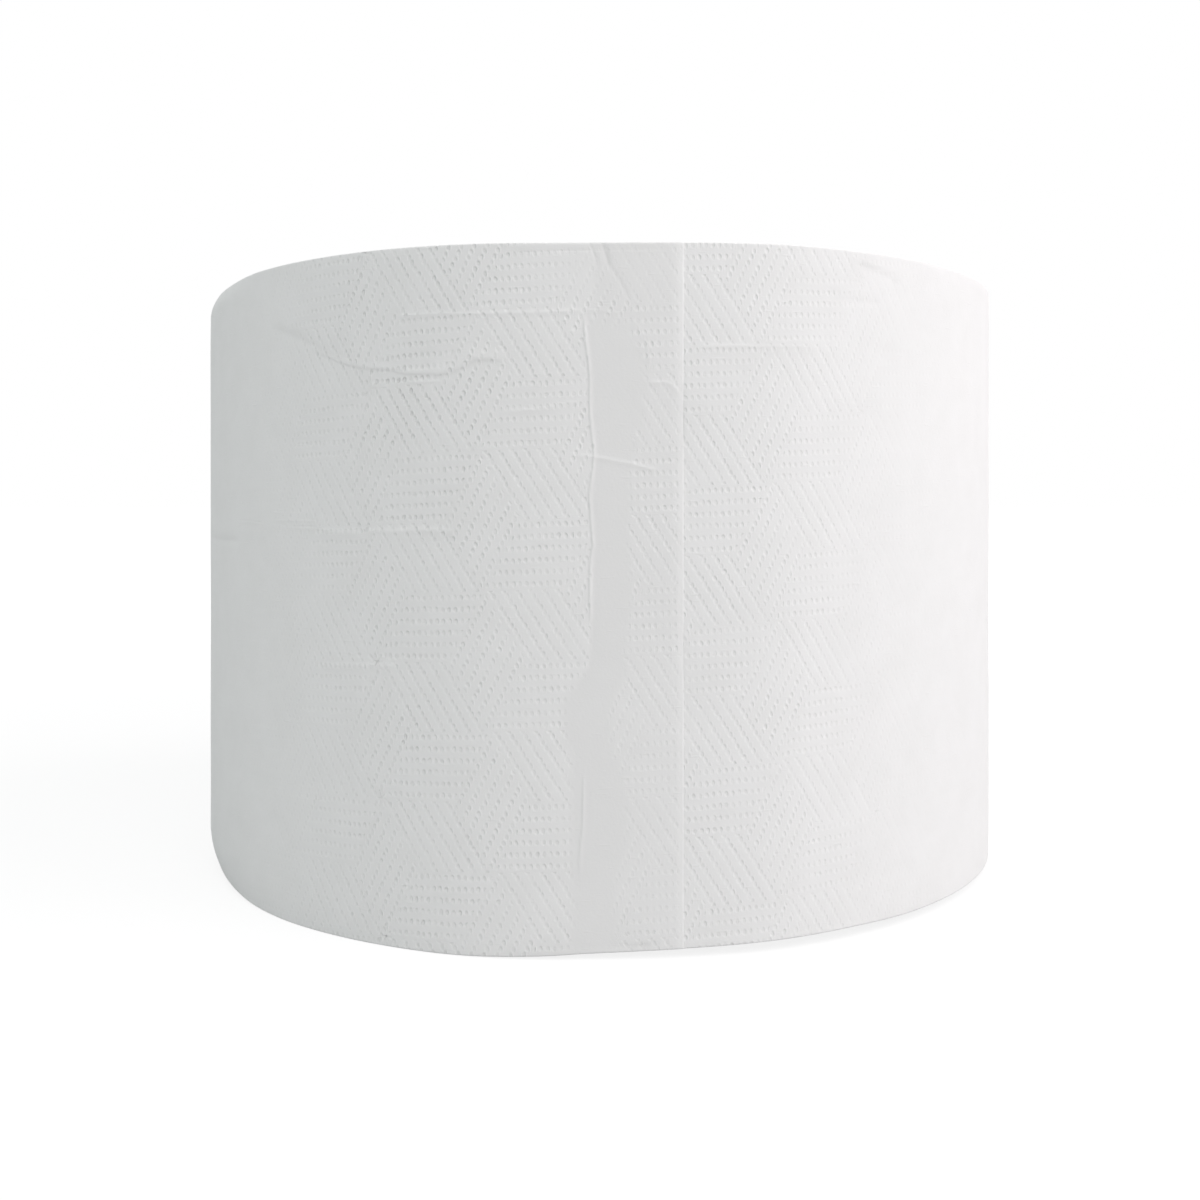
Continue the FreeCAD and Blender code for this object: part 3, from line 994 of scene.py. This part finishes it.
def makeTowelEnd():
    material, tree = newTree("towelEnd")
    place = addNode(tree, "ShaderNodeTexCoord").outputs["Object"]
    rings = addGroup(tree, woundRings, {"Place": place, "Ring Width": paper["endRingWidth"]})
    fibre = addGroup(tree, paperFibre, {"Place": place})
    fine = spreadRange(tree, rings["Fine"], *narrowSpan, 0, 1)
    broad = spreadRange(tree, rings["Broad"], *narrowSpan, 0, 1)
    shade = plus(tree, times(tree, fine, paper["endFine"]), times(tree, broad, paper["endBroad"]))
    colour = mixColours(tree, shade, paper["endShadow"], paper["endColour"])
    roughness = spreadRange(tree, fibre["Height"], *noiseSpan, *paper["endRoughness"])
    finishMatt(tree, colour, roughness, paper["endSpecular"], [
        (rings["Fine"], paper["endFineDepth"]), (rings["Broad"], paper["endBroadDepth"]),
        (fibre["Height"], paper["endFibreDepth"])])
    return material


# The tube's finish.
board = {
    "colour": (0.37, 0.30, 0.225, 1),
    "darkColour": (0.27, 0.215, 0.16, 1),
    "ringWidth": 0.35 * mm,
    "fibreShade": 0.5,  # how much of the shade is in the fibre
    "cloudShade": 0.5,
    "fibreSize": 0.7 * mm,
    "fibreDepth": 0.05 * mm,
    "ringDepth": 0.05 * mm,
    "roughness": (0.75, 0.95),
    "specular": 0.5,
}


def makeBoard():
    material, tree = newTree("coreBoard")
    place = addNode(tree, "ShaderNodeTexCoord").outputs["Object"]
    rings = addGroup(tree, woundRings, {"Place": place, "Ring Width": board["ringWidth"]})
    fibre = addGroup(tree, paperFibre, {"Place": place, "Fibre Size": board["fibreSize"]})
    height = fibre["Height"]
    fine, broad = times(tree, height, board["fibreShade"]), times(tree, fibre["Cloud"], board["cloudShade"])
    shade = spreadRange(tree, plus(tree, fine, broad), *narrowSpan, 0, 1)
    colour = mixColours(tree, shade, board["darkColour"], board["colour"])
    roughness = spreadRange(tree, height, *noiseSpan, *board["roughness"])
    finishMatt(tree, colour, roughness, board["specular"],
               [(height, board["fibreDepth"]), (rings["Fine"], board["ringDepth"])])
    return material


towelRoll.data.materials.append(makeTowelFace())
towelRoll.data.materials.append(makeTowelEnd())
towelRoll.data.polygons.foreach_set("material_index", endFaces.astype(np.int32))
coreTube.data.materials.append(makeBoard())
print("materials ready")


# The studio. A softbox's bearing is in degrees to the right of the front, and its height in degrees up.
studio = {
    "skyColour": (0.96, 1.0, 1.0, 1),
    "skyStrength": 0.54,
    "softboxes": [
        {"name": "keySoftbox", "bearing": 75, "up": 40, "distance": 1.9, "size": 1.4, "watts": 20.8,
         "colour": (1.0, 0.93, 0.952)},
        {"name": "leftSoftbox", "bearing": -80, "up": 13, "distance": 2.2, "size": 1.2, "watts": 4.7,
         "colour": (0.94, 1.0, 1.0)},
        {"name": "frontSoftbox", "bearing": 15, "up": 47, "distance": 2.2, "size": 1.6, "watts": 12.8,
         "colour": (1.0, 0.98, 0.98)},
    ],
    "floorSize": 30,
    "floorDrop": 0.05 * mm,  # how far below the roll the floor lies
    "floorGlow": 1.06,
    "floorColour": (0.9, 0.9, 0.9, 1),
    "bounceColour": (0.565, 0.565, 0.565, 1),  # what the floor throws back on to the roll
    "shadowShare": 0.2,  # how much of the floor's own light and shade is seen
    "shadowReach": (0.45, 1.2),  # where that share starts to fade, and where it ends
}

camera = {
    "place": (0, -0.6139, 0.1547),
    "lens": 40.18,
    "shiftUp": -0.0877,
}


def seenByCamera(tree):
    # 1 for what the camera sees, straight on or by way of gloss and glass.
    rays = tree.nodes.new("ShaderNodeLightPath")
    seen = doMath(tree, "MAXIMUM", rays.outputs["Is Camera Ray"], rays.outputs["Is Glossy Ray"])
    return doMath(tree, "MAXIMUM", seen, rays.outputs["Is Transmission Ray"])


def makeFloor():
    bpy.ops.mesh.primitive_plane_add(size=studio["floorSize"], location=(0, 0, -studio["floorDrop"]))
    floor = bpy.context.object
    floor.name = "floor"
    bpy.ops.object.transform_apply(location=True)
    material, tree = newTree("floor")
    place = addNode(tree, "ShaderNodeTexCoord").outputs["Object"]
    reach = doVectorMath(tree, "LENGTH", place, output="Value")
    fadeStart, fadeEnd = studio["shadowReach"]
    share = spreadRange(tree, reach, fadeStart, fadeEnd, studio["shadowShare"], 0.0, "SMOOTHSTEP")
    glow = addNode(tree, "ShaderNodeEmission", {"Color": (1, 1, 1, 1), "Strength": studio["floorGlow"]})
    matte = addNode(tree, "ShaderNodeBsdfDiffuse", {"Color": studio["floorColour"]})
    seen = mixShaders(tree, share, glow, matte)
    bounce = addNode(tree, "ShaderNodeBsdfDiffuse", {"Color": studio["bounceColour"]})
    mix = mixShaders(tree, seenByCamera(tree), bounce, seen)
    addNode(tree, "ShaderNodeOutputMaterial", {"Surface": mix.outputs[0]})
    floor.data.materials.append(material)


def makeSky():
    world = bpy.data.worlds.new("studio")
    bpy.context.scene.world = world
    world.use_nodes = True
    tree = world.node_tree
    tree.nodes.clear()
    sky = addNode(tree, "ShaderNodeBackground", {"Color": studio["skyColour"],
                                                 "Strength": studio["skyStrength"]})
    white = addNode(tree, "ShaderNodeBackground", {"Color": (1, 1, 1, 1), "Strength": 1.0})
    mix = mixShaders(tree, seenByCamera(tree), sky, white)
    addNode(tree, "ShaderNodeOutputWorld", {"Surface": mix.outputs[0]})


def addSoftbox(box):
    bearing, up = math.radians(box["bearing"]), math.radians(box["up"])
    middle = Vector((0, 0, rollHeight / 2))
    away = Vector((math.sin(bearing) * math.cos(up), -math.cos(bearing) * math.cos(up), math.sin(up)))
    data = bpy.data.lights.new(box["name"], "AREA")
    data.size = box["size"]
    data.energy = box["watts"]
    data.color = box["colour"]
    lamp = bpy.data.objects.new(box["name"], data)
    bpy.context.scene.collection.objects.link(lamp)
    lamp.location = middle + away * box["distance"]
    lamp.rotation_euler = (-away).to_track_quat("-Z", "Y").to_euler()


def makeCamera():
    data = bpy.data.cameras.new("camera")
    eye = bpy.data.objects.new("camera", data)
    bpy.context.scene.collection.objects.link(eye)
    eye.location = camera["place"]
    eye.rotation_euler = (math.radians(90), 0, 0)
    data.lens = camera["lens"]
    data.shift_y = camera["shiftUp"]
    bpy.context.scene.camera = eye


makeFloor()
makeSky()
for softbox in studio["softboxes"]:
    addSoftbox(softbox)
makeCamera()
bpy.context.scene.view_settings.view_transform = "Standard"
print("studio lit")
